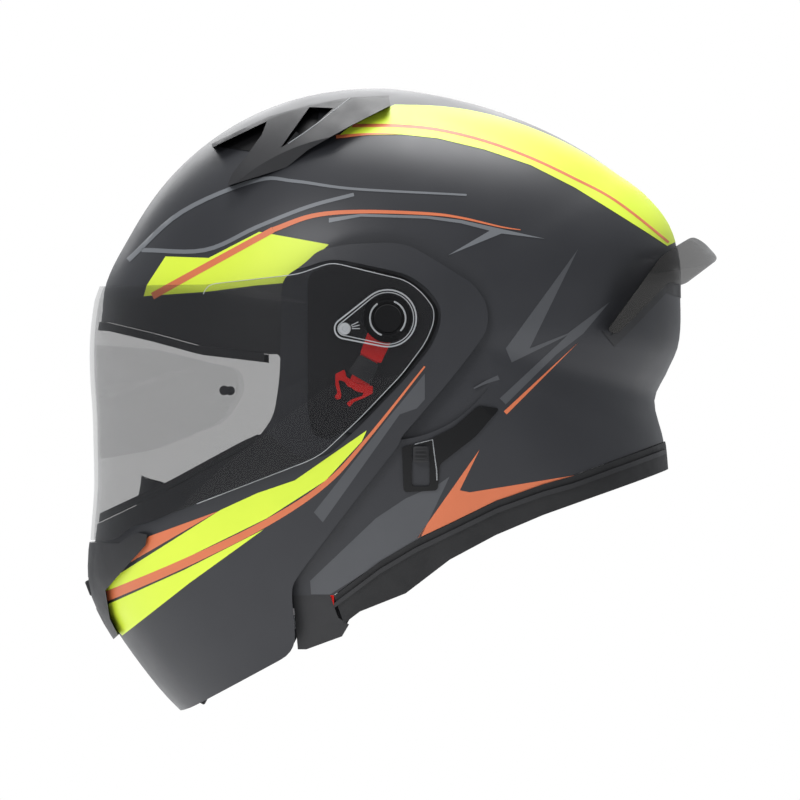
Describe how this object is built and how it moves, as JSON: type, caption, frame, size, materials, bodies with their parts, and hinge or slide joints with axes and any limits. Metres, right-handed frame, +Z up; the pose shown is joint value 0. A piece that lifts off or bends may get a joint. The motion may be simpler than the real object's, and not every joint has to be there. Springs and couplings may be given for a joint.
{
  "type": "motorcycle helmet",
  "caption": "Modular full-face helmet with flip-up chin bar, clear visor, inner sun visor, sliding vents, rear spoiler, foam liner, pads and chin strap.",
  "frame": {"origin": "the middle of the head, halfway between the two chin bar pivots", "axes": "+X to the wearer's left, +Y backward, so the helmet faces -Y, +Z up as it is worn"},
  "size_m": [0.2576, 0.3218, 0.3173],
  "materials": {
    "shell_paint": "matte anthracite lacquer with a soft sheen",
    "decal_yellow": "fluorescent yellow graphic under matte lacquer",
    "decal_orange": "orange graphic under matte lacquer",
    "decal_grey": "grey graphic under matte lacquer",
    "black_gloss": "polished black",
    "black_matte": "fine grained black",
    "rubber": "soft black rubber",
    "foam": "black expanded foam beads",
    "lining": "dark knitted lining",
    "clear_visor": "clear, lightly smoked",
    "smoke_plastic": "dark smoke, translucent",
    "red_plastic": "red moulded",
    "steel": "plated steel",
    "webbing": "woven polyester webbing"
  },
  "bodies": {
    "helmet": {"brow_gasket": "rubber", "buckle_body": "steel", "cheek_pad_left": "lining", "cheek_pad_right": "lining", "cheek_release_tab_left": "red_plastic", "cheek_release_tab_right": "red_plastic", "chin_strap_left": "webbing", "chin_strap_right": "webbing", "comfort_liner": "lining", "eps_liner": "foam", "latch_housing_left": "black_matte", "latch_housing_right": "black_matte", "neck_roll": "lining", "neck_trim": "rubber", "outer_shell": "shell_paint", "pivot_bolt_left": "steel", "pivot_bolt_right": "steel", "ratchet_tongue": "steel", "rear_spoiler": "smoke_plastic", "recess_panel_left": "black_gloss", "recess_panel_right": "black_gloss", "strap_anchor_left": "steel", "strap_anchor_right": "steel", "striker_pin_left": "steel", "striker_pin_right": "steel", "sun_visor_pin_left": "steel", "sun_visor_pin_right": "steel", "top_vent_cover_left": "black_matte", "top_vent_cover_right": "black_matte"},
    "chin_bar": {"chin_bar": "shell_paint", "chin_eps": "foam", "chin_vent_cover": "black_gloss", "chin_gasket": "rubber", "breath_deflector": "rubber", "chin_curtain": "lining", "visor_base_plate_left": "black_gloss", "visor_base_plate_right": "black_gloss", "visor_pivot_cap_left": "black_gloss", "visor_pivot_cap_right": "black_gloss"},
    "visor": {"visor": "clear_visor", "anti_fog_insert": "clear_visor", "insert_pin_left": "black_matte", "insert_pin_right": "black_matte"},
    "sun_visor": {"sun_visor": "smoke_plastic"},
    "sun_visor_slider": {"sun_visor_slider": "black_matte"},
    "top_vent_slider_left": {"top_vent_slider_left": "black_gloss"},
    "top_vent_slider_right": {"top_vent_slider_right": "black_gloss"},
    "chin_vent_slider": {"chin_vent_slider": "black_matte"},
    "release_button": {"release_button": "black_matte"},
    "latch_hook_left": {"latch_hook_left": "steel"},
    "latch_hook_right": {"latch_hook_right": "steel"},
    "visor_lock_lever_left": {"visor_lock_lever_left": "red_plastic"},
    "visor_lock_lever_right": {"visor_lock_lever_right": "red_plastic"},
    "buckle_lever": {"buckle_lever": "red_plastic"}
  },
  "joints": [
    {"name": "chin_bar_hinge", "type": "hinge", "parent": "helmet", "child": "chin_bar", "pos_m": [0, 0, 0], "axis": [-1, 0, 0], "range_deg": [0, 90]},
    {"name": "visor_hinge", "type": "hinge", "parent": "chin_bar", "child": "visor", "pos_m": [0, 0, 0], "axis": [-1, 0, 0], "range_deg": [0, 50]},
    {"name": "sun_visor_hinge", "type": "hinge", "parent": "helmet", "child": "sun_visor", "pos_m": [0, 0, 0], "axis": [1, 0, 0], "range_deg": [0, 45]},
    {"name": "sun_visor_slider_slide", "type": "slide", "parent": "helmet", "child": "sun_visor_slider", "axis": [0, -0.06, -0.9982], "range_m": [0, 0.011]},
    {"name": "top_vent_slider_left_slide", "type": "slide", "parent": "helmet", "child": "top_vent_slider_left", "axis": [-0.6051, 0.4981, 0.6211], "range_m": [0, 0.005]},
    {"name": "top_vent_slider_right_slide", "type": "slide", "parent": "helmet", "child": "top_vent_slider_right", "axis": [0.6051, 0.4981, 0.6211], "range_m": [0, 0.005]},
    {"name": "chin_vent_slider_slide", "type": "slide", "parent": "chin_bar", "child": "chin_vent_slider", "axis": [0, 0.36, -0.933], "range_m": [0, 0.005]},
    {"name": "release_button_slide", "type": "slide", "parent": "chin_bar", "child": "release_button", "axis": [0, 0.454, 0.891], "range_m": [0, 0.002], "stiffness_N_per_m": 300},
    {"name": "latch_hook_left_hinge", "type": "hinge", "parent": "chin_bar", "child": "latch_hook_left", "pos_m": [0.0775, -0.059, -0.152], "axis": [-1, 0, 0], "range_deg": [0, 12.2]},
    {"name": "latch_hook_right_hinge", "type": "hinge", "parent": "chin_bar", "child": "latch_hook_right", "pos_m": [-0.0775, -0.059, -0.152], "axis": [-1, 0, 0], "range_deg": [0, 12.2]},
    {"name": "visor_lock_lever_left_hinge", "type": "hinge", "parent": "chin_bar", "child": "visor_lock_lever_left", "pos_m": [0.1209, -0.006, -0.015], "axis": [1, 0, 0], "range_deg": [0, 8], "stiffness_Nm_per_rad": 0.05},
    {"name": "visor_lock_lever_right_hinge", "type": "hinge", "parent": "chin_bar", "child": "visor_lock_lever_right", "pos_m": [-0.1209, -0.006, -0.015], "axis": [1, 0, 0], "range_deg": [0, 8], "stiffness_Nm_per_rad": 0.05},
    {"name": "buckle_lever_hinge", "type": "hinge", "parent": "helmet", "child": "buckle_lever", "pos_m": [-0.006, -0.0069, -0.1422], "axis": [0, 1, 0], "range_deg": [0, 35], "stiffness_Nm_per_rad": 0.1}
  ],
  "couplings": [
    {"joint": "sun_visor_slider_slide", "follows": "sun_visor_hinge", "m_per_rad": 0.014},
    {"joint": "latch_hook_left_hinge", "follows": "release_button_slide", "rad_per_m": 104.7},
    {"joint": "latch_hook_right_hinge", "follows": "release_button_slide", "rad_per_m": 104.7}
  ]
}
